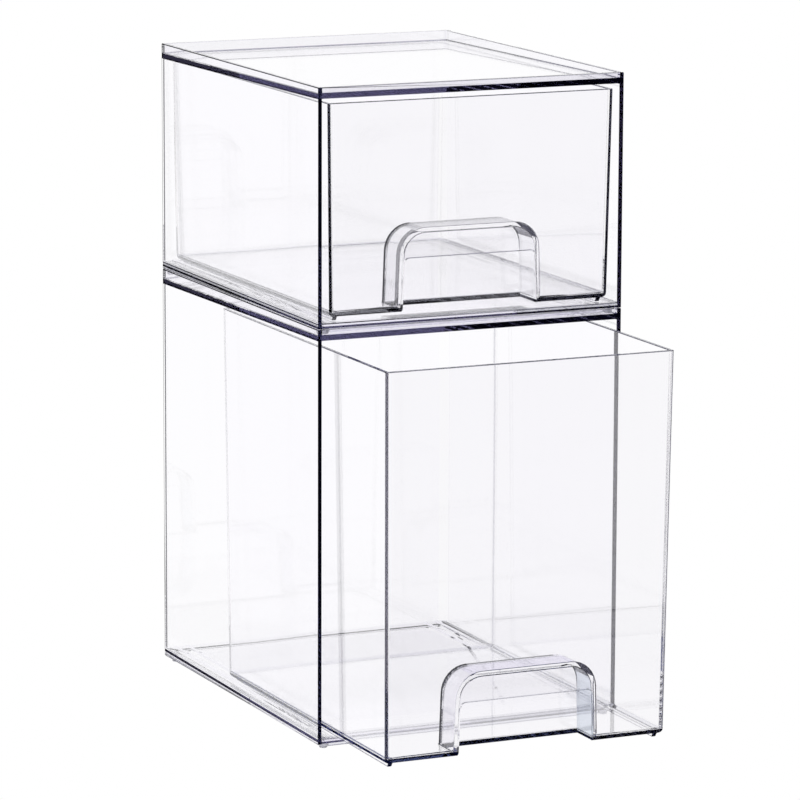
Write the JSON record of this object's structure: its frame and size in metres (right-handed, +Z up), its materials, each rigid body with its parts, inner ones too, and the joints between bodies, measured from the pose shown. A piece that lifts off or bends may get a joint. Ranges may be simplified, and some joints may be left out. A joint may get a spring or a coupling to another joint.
{
  "type": "fridge bin",
  "caption": "Clear plastic stacking drawer bins for a fridge shelf: open-fronted housings with a stacking rim and lift-out drawers with arched finger pockets.",
  "frame": {"origin": "middle of the footprint at floor level, with the tall drawer pulled part way out as at rest", "axes": "+Z up, -Y out of the drawer fronts, +X to the right of someone facing the fronts"},
  "size_m": [0.17, 0.2828, 0.3392],
  "materials": {
    "clear_housing": "clear, glossy",
    "clear_drawer": "clear, glossy",
    "foot_pad": "translucent, satin"
  },
  "bodies": {
    "tall_unit": {"tall_housing": "clear_housing", "tall_foot_front_left": "foot_pad", "tall_foot_front_right": "foot_pad", "tall_foot_back_left": "foot_pad", "tall_foot_back_right": "foot_pad"},
    "tall_drawer": {"tall_drawer": "clear_drawer"},
    "short_unit": {"short_housing": "clear_housing", "short_foot_front_left": "foot_pad", "short_foot_front_right": "foot_pad", "short_foot_back_left": "foot_pad", "short_foot_back_right": "foot_pad"},
    "short_drawer": {"short_drawer": "clear_drawer"}
  },
  "joints": [
    {"name": "tall_drawer_slide", "type": "slide", "parent": "tall_unit", "child": "tall_drawer", "axis": [0, -1, 0], "range_m": [-0.0711, 0.1403]},
    {"name": "short_unit_lift", "type": "slide", "parent": "tall_unit", "child": "short_unit", "axis": [0, 0, 1], "range_m": [0, 0.06]},
    {"name": "short_drawer_slide", "type": "slide", "parent": "short_unit", "child": "short_drawer", "axis": [0, -1, 0], "range_m": [0, 0.2114]}
  ]
}
